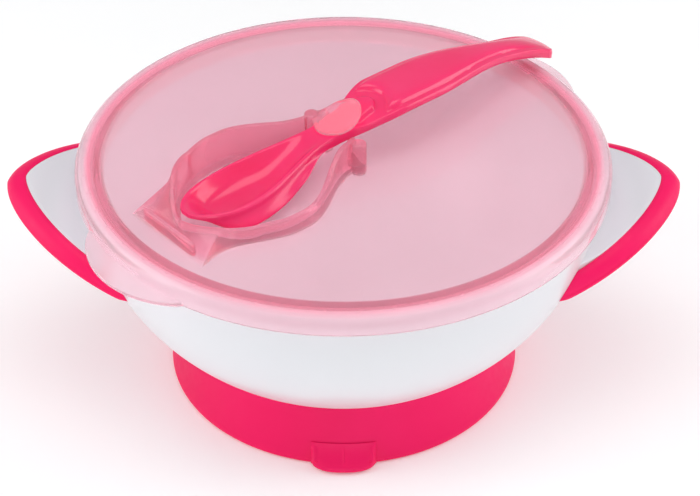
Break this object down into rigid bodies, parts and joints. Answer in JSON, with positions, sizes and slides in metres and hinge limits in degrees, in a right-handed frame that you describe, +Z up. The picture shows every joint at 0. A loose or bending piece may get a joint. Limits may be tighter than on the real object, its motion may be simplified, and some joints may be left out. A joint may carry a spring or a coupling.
{
  "type": "suction bowl",
  "caption": "Baby feeding bowl with ear handles on a soft suction foot, with a translucent snap lid that holds its own spoon under a clip.",
  "frame": {"origin": "centre of the underside of the suction foot's sealing lip, on the table", "axes": "+Z up; X runs through the two ear handles; the release tab faces -Y"},
  "size_m": [0.1906, 0.15, 0.0884],
  "materials": {
    "white_pp": "smooth gloss",
    "pink_tpe": "satin soft touch",
    "clear_pink_pp": "translucent gloss",
    "spoon_pink_pp": "high gloss"
  },
  "bodies": {
    "base": {"bowl_shell": "white_pp", "handle_grip_left": "pink_tpe", "handle_grip_right": "pink_tpe", "suction_foot": "pink_tpe"},
    "release_tab": {"release_tab": "pink_tpe"},
    "lid": {"lid": "clear_pink_pp", "spoon_clip": "clear_pink_pp"},
    "spoon": {"spoon": "spoon_pink_pp"}
  },
  "joints": [
    {"name": "lid_lift", "type": "slide", "parent": "base", "child": "lid", "axis": [0, 0, 1], "range_m": [0, 0.06]},
    {"name": "spoon_lift", "type": "slide", "parent": "lid", "child": "spoon", "axis": [0, 0, 1], "range_m": [0, 0.04], "deforming": ["spoon_clip"]},
    {"name": "release_tab_peel", "type": "hinge", "parent": "base", "child": "release_tab", "pos_m": [0, -0.052, 0.0068], "axis": [-1, 0, 0], "range_deg": [0, 50], "stiffness_Nm_per_rad": 0.01}
  ]
}
